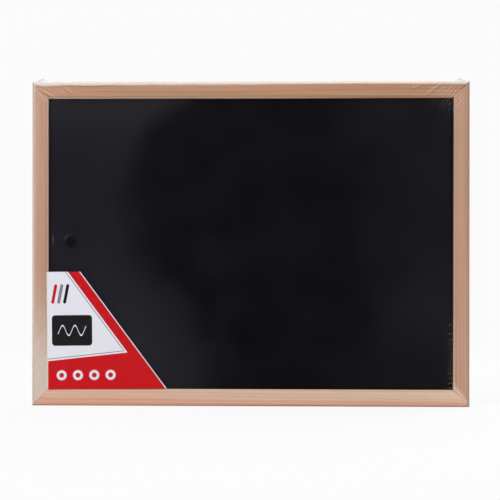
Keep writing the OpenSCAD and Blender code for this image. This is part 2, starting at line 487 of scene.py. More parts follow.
def hardboard_finish():
    """Brown pressed fibre board: the mesh print of its rough back over blotches and fibres."""
    tree = new_material("hardboard")
    place = tree.place()
    x, y, z = place.parts()
    wave = 2 * math.pi / SCREEN_PITCH
    weave = (x * wave).sine() * (z * wave).sine()
    blotch = tree.noise(place, scale=70.0, detail=5.0, rough=0.6)
    fibre = tree.streaked_noise((x, y, z), FIBRE_SCALES, detail=3.0, rough=0.65)
    chips = tree.streaked_noise((x, y, z), CHIP_SCALES, detail=1.0)
    colour = tree.blend(blotch.rise(*BLOTCH_RANGE), srgb(124, 86, 57), srgb(142, 102, 70))
    colour = tree.blend(fibre.shown(*FIBRE_SHOWN), colour, srgb(82, 54, 35))
    colour = tree.blend(chips.shown(*CHIPS_SHOWN), colour, srgb(172, 134, 98))
    colour = tree.blend((1 - weave.rise(*PIT_RANGE)) * PIT_SHARE, colour, srgb(74, 48, 31))
    return tree.finish({
        "Base Color": colour,
        "Roughness": 0.82,
        "Specular IOR Level": 0.25,
        "Normal": tree.bump(weave * WEAVE_RISE + fibre, distance=0.12 * MM, strength=0.8),
    })


# Plated metals: bright and dull colour, and roughness
NAIL_STEEL = ((0.42, 0.42, 0.43), (0.3, 0.29, 0.28), 0.4)
ZINC_PLATE = ((0.62, 0.62, 0.6), (0.5, 0.5, 0.48), 0.28)
ZINC_WIRE = ((0.7, 0.7, 0.68), (0.58, 0.58, 0.56), 0.22)
PLATING_RANGE = (0.35, 0.7)
RUB_SCALES = (3000, 3000, 500)


def plated_finish(name, bright, dull, roughness):
    """Plated steel: cloudy plating with fine rub marks and dull spots."""
    tree = new_material(name)
    place = tree.place()
    cloud = tree.noise(place, scale=420.0, detail=3.0)
    rubs = tree.streaked_noise(place.parts(), RUB_SCALES, detail=2.0)
    return tree.finish({
        "Base Color": tree.blend(cloud.rise(*PLATING_RANGE), bright, dull),
        "Metallic": 1.0,
        "Roughness": roughness + cloud * 0.14 + rubs * 0.1,
        "Normal": tree.bump(rubs, distance=0.01 * MM, strength=0.4),
    })


# Corner card: its four corners as (X, Z), its front and its turn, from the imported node
card_co = np.array([vertex.co for vertex in frame["nodes"]["corner_card"].data.vertices])
card_xz = card_co[:, [0, 2]]
CARD_FRONT, CARD_BACK = card_co[:, 1].min(), card_co[:, 1].max()
CARD_LL, CARD_LR, CARD_UR, CARD_UL = (
    card_xz[np.argmax(card_xz @ way)] for way in ((-1, -1), (1, -1), (1, 1), (-1, 1)))
CARD_TURN = -math.atan2(*(CARD_LR - CARD_LL)[::-1])
CARD_W = np.linalg.norm(CARD_LR - CARD_LL) / MM
CARD_TOP = np.linalg.norm(CARD_UR - CARD_UL) / MM
CARD_H = np.linalg.norm(CARD_UL - CARD_LL) / MM

CARD_BOW = 0.04 * MM
CARD_RED = srgb(190, 5, 15)
CARD_WHITE = srgb(221, 221, 230)
CARD_GREY = srgb(120, 122, 132)
CARD_BLACK = srgb(8, 8, 10)
MOTTLE_SHOWN = (0.4, 0.8, 0.01)

# The card's print, in millimetres across and up from its lower left corner
PRINT_SOFT = 0.12
FOOT_TOP = 26.0
FOOT_SLOPE = 0.1
BAND_W = 9.2
BAND_EDGE = 0.8
LINE_IN = 1.8
LINE_HALF_W = 0.35
SLATE_AT = (23.0, 54.0)
SLATE_HALF = (18.5, 14.0)
SLATE_ROUND = 3.0
WAVE_HALF_L = 13.0
WAVE_H = 4.5
WAVE_TURN = 0.55
WAVE_HALF_W = 0.7
CHALK_AT = (5.5, 80.0)
CHALK_RUN = (3.0, 15.0)
CHALK_STEP = 5.5
CHALK_R = 1.4
MAGNET_AT = (13.0, 13.0)
MAGNET_STEP = 15.0
MAGNET_COUNT = 4
MAGNET_R = 4.6
MAGNET_EYE_R = 2.2


def card_finish():
    """Glossy printed card: a red foot and slanted band on white, with plain slate, chalk and magnet signs.

    Each form is a distance from its outline, and is inked where that is negative.
    """
    tree = new_material("printed_card")
    place = tree.place()
    to_card = {
        "Vector": place,
        "Location": (CARD_LL[0], 0, CARD_LL[1]),
        "Rotation": (0, CARD_TURN, 0),
        "Scale": (MM, MM, MM),
    }
    x, _, z = tree.node("ShaderNodeMapping", to_card, vector_type="TEXTURE").parts()

    def inside(distance):
        return 1 - distance.rise(-PRINT_SOFT, PRINT_SOFT)

    def length(a, b):
        return (a * a + b * b) ** 0.5

    def slab(at, half, corner):
        """Distance from a rounded rectangle."""
        a = abs(x - at[0]) - (half[0] - corner)
        b = abs(z - at[1]) - (half[1] - corner)
        return length(a.most(0.0), b.most(0.0)) + a.most(b).least(0.0) - corner

    def stick(at_x, at_z, run_x, run_z, radius):
        """Distance from a round-ended bar that runs on from a point."""
        share = ((x - at_x) * run_x + (z - at_z) * run_z) / (run_x ** 2 + run_z ** 2)
        share = share.most(0.0).least(1.0)
        return length(x - at_x - share * run_x, z - at_z - share * run_z) - radius

    slant = math.hypot(CARD_W - CARD_TOP, CARD_H)
    out_x, out_z = CARD_H / slant, (CARD_W - CARD_TOP) / slant
    from_slant = CARD_W * out_x - x * out_x - z * out_z
    foot = z - x * FOOT_SLOPE - FOOT_TOP
    field = (from_slant - BAND_W).least(foot)
    wave = abs(z - SLATE_AT[1] - (x * WAVE_TURN).sine() * WAVE_H) - WAVE_HALF_W
    prints = [
        (field, CARD_RED),
        (abs(field - LINE_IN) - LINE_HALF_W, CARD_GREY),
        (from_slant - BAND_EDGE, CARD_WHITE),
        (slab(SLATE_AT, SLATE_HALF, SLATE_ROUND), CARD_BLACK),
        (wave.most(abs(x - SLATE_AT[0]) - WAVE_HALF_L), CARD_WHITE),
    ]
    for number, ink in enumerate((CARD_RED, CARD_GREY, CARD_BLACK)):
        chalk = stick(CHALK_AT[0] + CHALK_STEP * number, CHALK_AT[1], *CHALK_RUN, CHALK_R)
        prints.append((chalk, ink))
    for number in range(MAGNET_COUNT):
        centre = length(x - (MAGNET_AT[0] + MAGNET_STEP * number), z - MAGNET_AT[1])
        prints += [(centre - MAGNET_R, CARD_WHITE), (centre - MAGNET_EYE_R, CARD_RED)]
    colour = CARD_WHITE
    for distance, ink in prints:
        colour = tree.blend(inside(distance), colour, ink)
    fibre = tree.noise(place, scale=2400.0, detail=3.0)
    mottle = tree.noise(place, scale=160.0)
    return tree.finish({
        "Base Color": tree.blend(mottle.shown(*MOTTLE_SHOWN), colour, CARD_WHITE),
        "Roughness": 0.32 + mottle * 0.12,
        "Specular IOR Level": 0.12,
        "Normal": tree.bump(fibre, distance=0.01 * MM, strength=0.4),
    })


# Tints of the film's pale haze and painted highlights, its warm painted highlights, its dark painted shade
# and its cool haze
FILM_TINTS = np.array([srgb(232, 232, 226), srgb(255, 226, 202), srgb(92, 72, 60), srgb(156, 150, 170)])


def film_finish():
    """Clear shrink film: nearly invisible, with the haze and fold marks that its points hold, which carry
    painted highlights and painted shade.
    """
    tree = new_material("clear_film")
    ripple = tree.noise(tree.place(), scale=260.0)
    return tree.finish({
        "Base Color": tree.attribute("tint", out=0),
        "Roughness": 0.16,
        "Alpha": tree.attribute("haze", out=2) * (0.85 + ripple * 0.3),
    })


# Meshes

def point_numbers(first, rows, columns):
    """Numbers of a grid's points, counted row by row from the first."""
    return first + np.arange(rows * columns).reshape(rows, columns)


def grid_quads(rows, columns, close_rows=False, close_columns=False):
    """Quads between the points of a grid, numbered row by row; a closed way joins its ends."""
    index = point_numbers(0, rows, columns)
    if close_rows:
        index = np.vstack([index, index[:1]])
    if close_columns:
        index = np.hstack([index, index[:, :1]])
    corners = [index[:-1, :-1], index[:-1, 1:], index[1:, 1:], index[1:, :-1]]
    return np.stack(corners, axis=-1).reshape(-1, 4)


def new_piece(name, points, faces, material, closed=True, sharp=40.0):
    """A mesh object from points and faces, smooth but for edges sharper than an angle."""
    mesh = bpy.data.meshes.new(name)
    mesh.from_pydata(np.asarray(points).reshape(-1, 3).tolist(), [], faces)
    if closed:
        shell = bmesh.new()
        shell.from_mesh(mesh)
        bmesh.ops.recalc_face_normals(shell, faces=shell.faces)
        shell.to_mesh(mesh)
        shell.free()
    mesh.shade_smooth()
    mesh.set_sharp_from_angle(angle=math.radians(sharp))
    mesh.materials.append(material)
    piece = bpy.data.objects.new(name, mesh)
    bpy.context.scene.collection.objects.link(piece)
    return piece


def dress(piece, body, slot, *nodes):
    """Puts a finished piece on a body, in place of its CAD nodes."""
    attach(piece, body)
    if nodes:
        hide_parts(*nodes)


def coat_node(node, material):
    """Gives a CAD node that stays in view its finish."""
    for slot in frame["nodes"][node].material_slots:
        slot.material = material


def loft(rows):
    """Faces of loops of points joined one to the next, with both ends capped by a flat face."""
    count, around = rows.shape[:2]
    faces = grid_quads(count, around, close_columns=True).tolist()
    last = (count - 1) * around
    return faces + [list(range(around))[::-1], list(range(last, last + around))]


def arc(centre, radius, start, end, count):
    """Points on a circle from one angle to another, in degrees."""
    turn = np.radians(np.linspace(start, end, count))
    return np.stack([centre[0] + radius * np.cos(turn), centre[1] + radius * np.sin(turn)], axis=1)


def rail_profile():
    """Closed outline of a rail as (inset from its outer edge, Y): three rounds and a groove."""
    back = WOOD_BACK - NAIL_PROUD
    groove = PANEL_INSET - EDGE_PLAY
    groove_back = CORE_BACK + GROOVE_PLAY
    return np.concatenate([
        [(RAIL_FACE / 2, back), (BACK_ROUND + SUPPORT, back)],
        arc((BACK_ROUND, back - BACK_ROUND), BACK_ROUND, 90, 180, 6),
        [(0, back - BACK_ROUND - SUPPORT), (0, WOOD_FRONT + OUTER_ROUND + SUPPORT)],
        arc((OUTER_ROUND, WOOD_FRONT + OUTER_ROUND), OUTER_ROUND, 180, 270, 13),
        [(OUTER_ROUND + SUPPORT, WOOD_FRONT), (RAIL_FACE - INNER_ROUND - SUPPORT, WOOD_FRONT)],
        arc((RAIL_FACE - INNER_ROUND, WOOD_FRONT + INNER_ROUND), INNER_ROUND, 270, 360, 7),
        [(RAIL_FACE, SHEET_FRONT), (groove, SHEET_FRONT), (groove, groove_back)],
        [(RAIL_FACE, groove_back), (RAIL_FACE, back)],
    ])


def rail_points(outward, lengthwise, reach, half):
    """The profile carried along a rail: each point runs out to the mitre, whose edges are eased.

    A point at inset d lies reach - d outwards, and its stations are shares of half - d lengthwise.
    """
    profile = rail_profile()
    ahead = np.roll(profile, -1, axis=0) - np.roll(profile, 1, axis=0)
    inwards = np.stack([-ahead[:, 1], ahead[:, 0]], axis=1)
    inwards /= np.linalg.norm(inwards, axis=1, keepdims=True)
    eased = profile + inwards * MITRE_EASE
    ease = MITRE_EASE / half
    settled = MITRE_EASE_RUN * ease
    share = np.array([-1, -1 + ease, -1 + settled, 0, 1 - settled, 1 - ease, 1])
    loops = np.where((np.abs(share) == 1)[:, None, None], eased, profile)
    inset, depth = loops[..., 0], loops[..., 1]
    out = reach - inset
    run = share[:, None] * (half - inset)
    return np.stack([
        out * outward[0] + run * lengthwise[0],
        depth,
        out * outward[1] + run * lengthwise[1],
    ], axis=-1)


def make_rails():
    """The four mitred rails."""
    for number, (rail, way) in enumerate(RAIL_WAYS.items()):
        points = rail_points(*way)
        material = wood_finish(rail, WOOD_SEED + WOOD_SEED_STEP * number)
        piece = new_piece(rail + "_moulding", points, loft(points), material)
        dress(piece, "board", "frame_wood", rail)


def tube(path, across, radius, around=20):
    """A round tube about a closed path in one plane, whose normal is across."""
    ahead = np.roll(path, -1, axis=0) - np.roll(path, 1, axis=0)
    ahead /= np.linalg.norm(ahead, axis=1, keepdims=True)
    side = np.cross(ahead, across)
    turn = np.linspace(0, 2 * np.pi, around, endpoint=False)[:, None]
    return path[:, None] + radius * (np.cos(turn) * side[:, None] + np.sin(turn) * np.array(across))


def hinge_at(body):
    """The place of the joint that a body turns about."""
    return next(joint for joint in frame["joints"] if joint["child"] == body)["pos_m"]


def make_ring(side, body, material):
    """The wire loop: a straight bar, two tight bends, two legs and a half circle."""
    node = side + "_ring"
    low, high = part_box(node)
    wire = (high.y - low.y) / 2
    half = (high.x - low.x) / 2 - wire
    axis = hinge_at(body)
    bar = half - RING_BEND
    drop = axis[2] - low.z - half - wire
    outline = np.concatenate([
        np.linspace((-bar, 0), (bar, 0), 8),
        arc((bar, -RING_BEND), RING_BEND, 90, 0, 10)[1:],
        np.linspace((half, -RING_BEND), (half, -drop), 10)[1:],
        arc((0, -drop), half, 0, -180, 32)[1:],
        np.linspace((-half, -drop), (-half, -RING_BEND), 10)[1:],
        arc((-bar, -RING_BEND), RING_BEND, 180, 90, 10)[1:-1],
    ])
    path = np.insert(outline, 1, 0, axis=1) + axis
    points = tube(path, (0, 1, 0), wire)
    faces = grid_quads(*points.shape[:2], close_rows=True, close_columns=True).tolist()
    dress(new_piece(side + "_ring_wire", points, faces, material), body, "ring_wire", node)


def make_strap(side, body, material):
    """The strap: a flat strip with round ends, carried up, around the ring's bar and down again.

    The path is the strip's middle in (Y, Z); its half width follows a half circle at each end.
    """
    node = side + "_strap"
    low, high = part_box(node)
    _, centre_y, centre_z = hinge_at(body)
    round_r = (high.x - low.x) / 2
    middle = (high.y - low.y) / 2 - STRAP_T / 2
    front_y = STRAP_T / 2
    back_y = STRAP_BACK - STRAP_T / 2
    ends = low.z + round_r * (1 - np.cos(np.linspace(0.03, np.pi / 2, 14)))
    loop = arc((centre_y, centre_z), middle, 180, STRAP_LOOP_END, 40)
    loop_y, loop_z = loop[-1]
    meet = np.linspace(loop_z, loop_z - STRAP_JOIN, 8)[1:]
    ease = 0.5 - 0.5 * np.cos(np.pi * (loop_z - meet) / STRAP_JOIN)
    up = np.stack([np.full(len(ends), front_y), ends], axis=1)
    down = np.stack([np.full(len(ends), back_y), ends[::-1]], axis=1)
    join = np.stack([loop_y + (back_y - loop_y) * ease, meet], axis=1)
    path = np.concatenate([up, loop, join, down])
    ahead = np.gradient(path, axis=0)
    ahead /= np.linalg.norm(ahead, axis=1, keepdims=True)
    aside = np.stack([ahead[:, 1], -ahead[:, 0]], axis=1)
    rise = np.clip(path[:, 1] - low.z, 0, round_r)
    half_w = np.sqrt(round_r ** 2 - (round_r - rise) ** 2)
    rounds = [arc((0, 0), STRAP_EDGE, start, start + 90, 4) for start in (0, 90, 180, 270)]
    corner = np.concatenate(rounds)
    sign = np.sign(arc((0, 0), 1, 45, 315, 4)).repeat(4, axis=0)
    across = sign[:, 0] * (half_w[:, None] - STRAP_EDGE).clip(0) + corner[:, 0]
    through = sign[:, 1] * (STRAP_T / 2 - STRAP_EDGE) + corner[:, 1]
    points = np.stack([
        (low.x + high.x) / 2 + across,
        path[:, :1] + aside[:, :1] * through,
        path[:, 1:] + aside[:, 1:] * through,
    ], axis=-1)
    piece = new_piece(side + "_strap_steel", points, loft(points), material)
    dress(piece, "board", "hanger_steel", node)


def make_screw(side, material):
    """The screw: a profile turned about its axis, with a cross sunk into the domed head."""
    node = side + "_screw"
    low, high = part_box(node)
    head_r = (high.z - low.z) / 2
    top, seat, tip = high.y, high.y - HEAD_H, low.y
    dome = np.linspace(0.02, 1, 44) * head_r
    profile = np.concatenate([
        np.stack([dome, top - HEAD_DOME + np.sqrt(HEAD_DOME ** 2 - dome ** 2)], axis=1),
        [(head_r, seat + HEAD_EDGE), (head_r - HEAD_EDGE, seat), (SHANK_R, seat)],
        [(SHANK_R, tip + TIP_L), (TIP_R, tip)],
    ])
    turn = np.linspace(0, 2 * np.pi, 128, endpoint=False)
    right = profile[:, :1] * np.cos(turn)
    up = profile[:, :1] * np.sin(turn)

    def bar(long, short):
        """Share of depth in one bar of the cross."""
        edge = np.maximum(np.abs(long) - CROSS_HALF_L, np.abs(short) - CROSS_HALF_W)
        return np.clip(0.5 - edge / CROSS_SOFT, 0, 1)

    sunk = np.maximum(bar(right, up), bar(up, right))
    sunk[len(dome):] = 0
    points = np.stack([
        (low.x + high.x) / 2 + right,
        profile[:, 1:] - CROSS_D * sunk,
        (low.z + high.z) / 2 + up,
    ], axis=-1)
    piece = new_piece(side + "_screw_steel", points, loft(points), material)
    dress(piece, "board", "hanger_steel", node)


def make_card(material):
    """The card: a thin loop of front and back points carried up from the bottom edge to the top.

    Its front bows in by half a sine wave across times half a sine wave upwards.
    """
    share = np.linspace(0, 1, 25)
    up = np.linspace(0, 1, 41)[:, None]
    left = CARD_LL + up * (CARD_UL - CARD_LL)
    right = CARD_LR + up * (CARD_UR - CARD_LR)
    row = left[:, None] + share[:, None] * (right - left)[:, None]
    bow = CARD_BOW * np.sin(np.pi * share) * np.sin(np.pi * up)
    front = np.stack([row[..., 0], CARD_FRONT + bow, row[..., 1]], axis=-1)
    back = np.stack([row[..., 0], np.full_like(bow, CARD_BACK), row[..., 1]], axis=-1)
    points = np.concatenate([front, back[:, ::-1]], axis=1)
    piece = new_piece("corner_card_sheet", points, loft(points), material)
    dress(piece, "board", "printed_card", "corner_card")


# Film

def graded_lines(start, *stretches):
    """Grid lines from start through stretches, each given as its end and its step."""
    lines = [np.array([start])]
    for end, step in stretches:
        count = max(1, round(abs(end - start) / step))
        lines.append(np.linspace(start, end, count + 1)[1:])
        start = end
    return np.concatenate(lines)


def smooth(value, low, high):
    """Smooth step from 0 at low to 1 at high."""
    share = np.clip((value - low) / (high - low), 0, 1)
    return share * share * (3 - 2 * share)


def bell(distance, width):
    """Bell curve: 1 at no distance, and fading over a width."""
    return np.exp(-(distance / width) ** 2)


def streak(x, z, start, end, width):
    """A soft straight line: strongest halfway along, fading over its width and to both ends."""
    run = np.subtract(end, start)
    length = np.hypot(*run)
    along = ((x - start[0]) * run[0] + (z - start[1]) * run[1]) / length ** 2
    aside = ((x - start[0]) * run[1] - (z - start[1]) * run[0]) / length
    return np.clip(4 * along * (1 - along), 0, 1) * bell(aside, width)


FOLD_W = 0.5 * MM
CREASE_W = 0.6 * MM
CREASE_DROP = 1.7 * MM


def film_folds(x, z):
    """Painted highlights on the ridges of the film's folds, and the painted shade of the crease that lies
    under each.
    """
    ridge = np.zeros_like(x)
    crease = np.zeros_like(x)
    below = np.array([0, -CREASE_DROP])
    for start, end, strength in FOLDS:
        start, end = mm(*start), mm(*end)
        ridge = np.maximum(ridge, strength * streak(x, z, start, end, FOLD_W))
        crease = np.maximum(crease, strength * streak(x, z, start + below, end + below, CREASE_W))
    return ridge, crease


HATCH_PITCH = 3.2 * MM
HATCH_LEAN = math.radians(52)
HATCH_REACH = 17 * MM
HATCH_SWAY = 0.8
HATCH_SWAY_X, HATCH_SWAY_Z = mm(5, 7)


def corner_hatch(x, z, side):
    """Fine slanted puckers that cross a top corner, drawn as lines of painted highlight, strongest at the
    frame's inner corner.

    The square of a slanted wave whose phase sways, times a bell curve of the distance from that corner.
    """
    across = side * x * math.sin(HATCH_LEAN) - z * math.cos(HATCH_LEAN)
    sway = HATCH_SWAY * np.sin(side * x / HATCH_SWAY_X) * np.sin(z / HATCH_SWAY_Z)
    away = np.hypot(side * x - HALF_W + RAIL_FACE, z - HALF_H + RAIL_FACE)
    wave = 0.5 + 0.5 * np.sin(2 * np.pi * across / HATCH_PITCH + sway)
    return wave ** 2 * bell(away, HATCH_REACH)


# Puckers at the right rail, drawn as short lines of painted highlight, with ranges of their levels,
# lengths and strengths
TICK_COUNT = 15
TICK_SEED = 3
TICK_OUT = 2.0 * MM
TICK_LEVELS = mm(-68, -131)
TICK_STRAY = 0.9 * MM
TICK_L = mm(5.0, 8.0)
TICK_DROP = 0.6 * MM
TICK_W = 0.5 * MM
TICK_STRENGTH = (0.4, 1.0)


def edge_ticks(x, z):
    """Short, nearly level puckers where the film leaves the right rail for the panel, as strengths of
    painted highlight.
    """
    rng = np.random.default_rng(TICK_SEED)
    edge = HALF_W - RAIL_FACE + TICK_OUT
    levels = np.linspace(*TICK_LEVELS, TICK_COUNT) + rng.uniform(-TICK_STRAY, TICK_STRAY, TICK_COUNT)
    ticks = np.zeros_like(x)
    for level in levels:
        end = np.array([edge, level])
        start = end - (rng.uniform(*TICK_L), TICK_DROP)
        ticks = np.maximum(ticks, rng.uniform(*TICK_STRENGTH) * streak(x, z, start, end, TICK_W))
    return ticks


# Seam along the top edge: widths and ripples in the middle, and what is added at its ends or on the left
SEAM_W = 2.3 * MM
SEAM_END_W = 0.9 * MM
SEAM_LEFT_W = 1.1 * MM
SEAM_LEFT_TO = mm(-20, 120)
SEAM_RIPPLE = 0.1 * MM
SEAM_LEFT_RIPPLE = 0.25 * MM
SEAM_RIPPLE_RUN = 6 * MM
SEAM_SOFT = mm(-0.5, 0.3)
SEAM_SHADE_DROP = 0.6 * MM
SEAM_SHADE_W = 0.5 * MM


def top_seam(x, inset):
    """Shares of the doubled seam along the top edge, pale with haze and painted highlight, whose lower
    side wanders, and of the painted shade under it.
    """
    to_end = (x / HALF_W) ** 2
    ripple = SEAM_RIPPLE + SEAM_LEFT_RIPPLE * (x < 0) * to_end
    width = SEAM_W + SEAM_END_W * to_end + SEAM_LEFT_W * (1 - smooth(x, *SEAM_LEFT_TO))
    width += ripple * np.sin(x / SEAM_RIPPLE_RUN + 1)
    below = inset - width
    return 1 - smooth(below, *SEAM_SOFT), bell(below - SEAM_SHADE_DROP, SEAM_SHADE_W)


CARD_LIFT_TO = mm(0.8, 13)


def card_lift(x, z):
    """How far the card holds the film off the rails: 1 over the card, falling to 0 around it."""
    corners = (CARD_LL, CARD_LR, CARD_UR, CARD_UL)
    outside = np.full_like(x, -1.0)
    for start, end in zip(corners, corners[1:] + corners[:1]):
        run = (end - start) / np.linalg.norm(end - start)
        outside = np.maximum(outside, (x - start[0]) * run[1] - (z - start[1]) * run[0])
    return 1 - smooth(outside, *CARD_LIFT_TO)


# Soft bounds of the film's marks: inside the rails' inner edges, across the mitres, and along X or Z
RAIL_BOUND = mm(-0.6, 0.0)
PANEL_BOUND = mm(0.3, 2.2)
MITRE_BOUND = mm(-0.8, 0.8)
RIGHT_FROM = mm(60, 186)
FOOT_FROM = mm(-120, -30)
CARD_SIDE_TO = mm(-125, -15)
TOP_EDGE_TO = mm(20, 140)

# Lines of painted highlight and of painted shade along the rails, as distances outside their inner edges
INNER_HIGHLIGHTS = {"left": 0.9 * MM, "right": 1.8 * MM, "top": 0.2 * MM}
INNER_SHADES = {"left": 2.1 * MM, "top": 1.6 * MM}
INNER_LINE_W = 0.6 * MM

# Single streaks as start, end and width, the first a painted highlight along a mitre, and shares of the
# seam's painted shade and where the film gathers
MITRE_STREAK = (mm(181, -124), mm(203.5, -152), 1.9 * MM)
GLINT_STREAK = (mm(-180.6, 10), mm(-180.6, -2.5), 0.5 * MM)
GATHER_STREAK = ((-190 * MM, HALF_H), (-105 * MM, HALF_H), 30 * MM)
SEAM_SHADE = 0.3
GATHER_SHADE = 1.2
LEFT_HATCH = 0.5

# Rim of the vent, with a painted highlight, and the way to the side of it that catches the light
VENT_RIM_OUT = 0.5 * MM
VENT_RIM_W = 0.6 * MM
VENT_GLANCE_WAY = math.radians(135)
VENT_GLANCE_POWER = 10


def film_marks(x, z):
    """Height of the film's folds, and its pale, warm, dark and cool haze at points, which carries painted
    highlights, painted sheen and painted shade.
    """
    from_side = HALF_W - np.abs(x)
    from_end = HALF_H - np.abs(z)
    from_rail = np.minimum(from_side, from_end) - RAIL_FACE
    on_panel = smooth(from_rail, *PANEL_BOUND)
    on_rail = 1 - smooth(from_rail, *RAIL_BOUND)
    on_level = smooth(from_side - from_end, *MITRE_BOUND)
    on_left = (x < 0) * (1 - on_level)
    on_right = (x > 0) * (1 - on_level)
    on_top = (z > 0) * on_level
    foot = (z < 0) * on_level * smooth(x, *FOOT_FROM)
    card_side = on_left * (1 - smooth(z, *CARD_SIDE_TO))
    top_edge = on_top * (1 - smooth(x, *TOP_EDGE_TO))

    def inner_lines(offsets, **shares):
        """Lines along the rails, at distances outside their inner edges."""
        return sum(share * bell(from_rail + offsets[rail], INNER_LINE_W) for rail, share in shares.items())

    inner_highlight = inner_lines(INNER_HIGHLIGHTS, left=on_left, right=on_right, top=top_edge)
    inner_shade = inner_lines(INNER_SHADES, left=on_left, top=on_top)
    ridge, crease = film_folds(x, z)
    hatch = np.maximum(LEFT_HATCH * corner_hatch(x, z, -1), corner_hatch(x, z, 1))
    seam, seam_shade = top_seam(x, HALF_H - z)
    seam_shade *= SEAM_SHADE + GATHER_SHADE * streak(x, z, *GATHER_STREAK)

    vent_x, vent_z = x - VENT_AT[0], z - VENT_AT[1]
    from_vent = np.hypot(vent_x, vent_z)
    glance = 0.5 + 0.5 * np.cos(np.arctan2(vent_z, vent_x) - VENT_GLANCE_WAY)
    rim = bell(from_vent - VENT_R - VENT_RIM_OUT, VENT_RIM_W)
    vent_cloud = 1 - smooth(from_vent, *VENT_CLOUD)

    # Film haze on the rails, with painted sheen on the bottom rail and painted highlight on the left rail
    # beside the card
    pale = on_rail * (RAIL_HAZE + np.maximum(FOOT_SHEEN * foot, CARD_SIDE_HIGHLIGHT * card_side))
    # Painted sheen over the right part of the panel, and painted highlights on the puckers there
    pale += on_panel * (RIGHT_SHEEN * smooth(x, *RIGHT_FROM) + PANEL_HATCH_HIGHLIGHT * hatch ** 2)
    pale += TOP_SEAM_HAZE_AND_HIGHLIGHT * seam + TICK_HIGHLIGHT * edge_ticks(x, z)
    pale += GLINT_HAZE * streak(x, z, *GLINT_STREAK)
    # Painted highlight on the vent's rim, brightest on the side that catches the light
    pale += rim * (VENT_RIM_HIGHLIGHT + VENT_GLANCE_HIGHLIGHT * glance ** VENT_GLANCE_POWER)
    warm = HATCH_HIGHLIGHT * hatch + MITRE_HIGHLIGHT * streak(x, z, *MITRE_STREAK) + CARD_SIDE_WARM_HIGHLIGHT * card_side
    warm = on_rail * warm + RIDGE_HIGHLIGHT * ridge + INNER_HIGHLIGHT_HAZE * inner_highlight
    # Painted shade in the creases, under the top seam and along the rails' inner edges
    dark = CREASE_SHADE * (crease + seam_shade) + INNER_SHADE_HAZE * inner_shade
    # Film haze over the panel, thicker around the vent, where it also paints sheen
    cool = CLEAR_HAZE + on_panel * (PANEL_HAZE + VENT_HAZE_AND_SHEEN * vent_cloud)
    return RIDGE_H * ridge + VENT_RIM_H * rim, np.stack([pale, warm, dark, cool], axis=-1)


def border(block):
    """A block's rim, anticlockwise as seen from the front."""
    return np.concatenate([block[0, :-1], block[:-1, -1], block[-1, :0:-1], block[:0:-1, 0]])


def bands(loops):
    """Quads between loops of point numbers, closed around."""
    return loops.ravel()[grid_quads(*loops.shape, close_columns=True)]


# Steps of the film's grid: fine left of the vent, up to a level, and in bands at the top and right
FILM_FINE = 0.5 * MM
FILM_COARSE = 6 * MM
FILM_VENT_STEP = 1 * MM
FILM_FINE_TO = -70 * MM
FILM_TOP_BAND = 34 * MM
FILM_RIGHT_BAND = 51 * MM
VENT_SHARES = (0.25, 0.5, 0.7, 0.82, 0.9, 0.96, 1.0)


def film_front(inner):
    """Points of the film's front as (X, Z), its faces, and the point numbers of its rim.

    The front is a grid. One square of it holds rings instead, each a share of the way to the round vent.
    """
    inner_x, inner_z = inner
    vent_low, vent_high = VENT_AT - VENT_FIELD, VENT_AT + VENT_FIELD
    lines_x = graded_lines(
        -inner_x, (vent_low[0], FILM_FINE), (vent_high[0], FILM_VENT_STEP),
        (inner_x - FILM_RIGHT_BAND, FILM_COARSE), (inner_x, FILM_FINE))
    lines_z = graded_lines(
        -inner_z, (FILM_FINE_TO, FILM_FINE), (vent_low[1], FILM_COARSE), (vent_high[1], FILM_VENT_STEP),
        (inner_z - FILM_TOP_BAND, FILM_COARSE), (inner_z, FILM_FINE))
    rows, columns = len(lines_z), len(lines_x)
    index = point_numbers(0, rows, columns)
    grid = np.stack(np.meshgrid(lines_x, lines_z), axis=-1).reshape(-1, 2)

    left, right = np.searchsorted(lines_x, (vent_low[0], vent_high[0]))
    bottom, top = np.searchsorted(lines_z, (vent_low[1], vent_high[1]))
    in_vent = np.zeros((rows - 1, columns - 1), bool)
    in_vent[bottom:top, left:right] = True
    quads = grid_quads(rows, columns)[~in_vent.ravel()]
    square = border(index[bottom:top + 1, left:right + 1])
    from_vent = grid[square] - VENT_AT
    hole = from_vent / np.linalg.norm(from_vent, axis=1, keepdims=True) * VENT_R
    shares = np.array(VENT_SHARES)[:, None, None]
    rings = VENT_AT + from_vent + shares * (hole - from_vent)
    ring_index = np.vstack([square, point_numbers(len(grid), len(shares), len(square))])
    points = np.concatenate([grid, rings.reshape(-1, 2)])
    return points, np.concatenate([quads, bands(ring_index)]), border(index)


LAP_WAVES = (9, 7)
LAP_PHASE = 2
LIFT_LOOPS = 5
ON_EDGE = 1e-6
LEFT_SEAM_W = mm(2.1, 3.0)
SEAM_SIDE_SHARE = 0.4


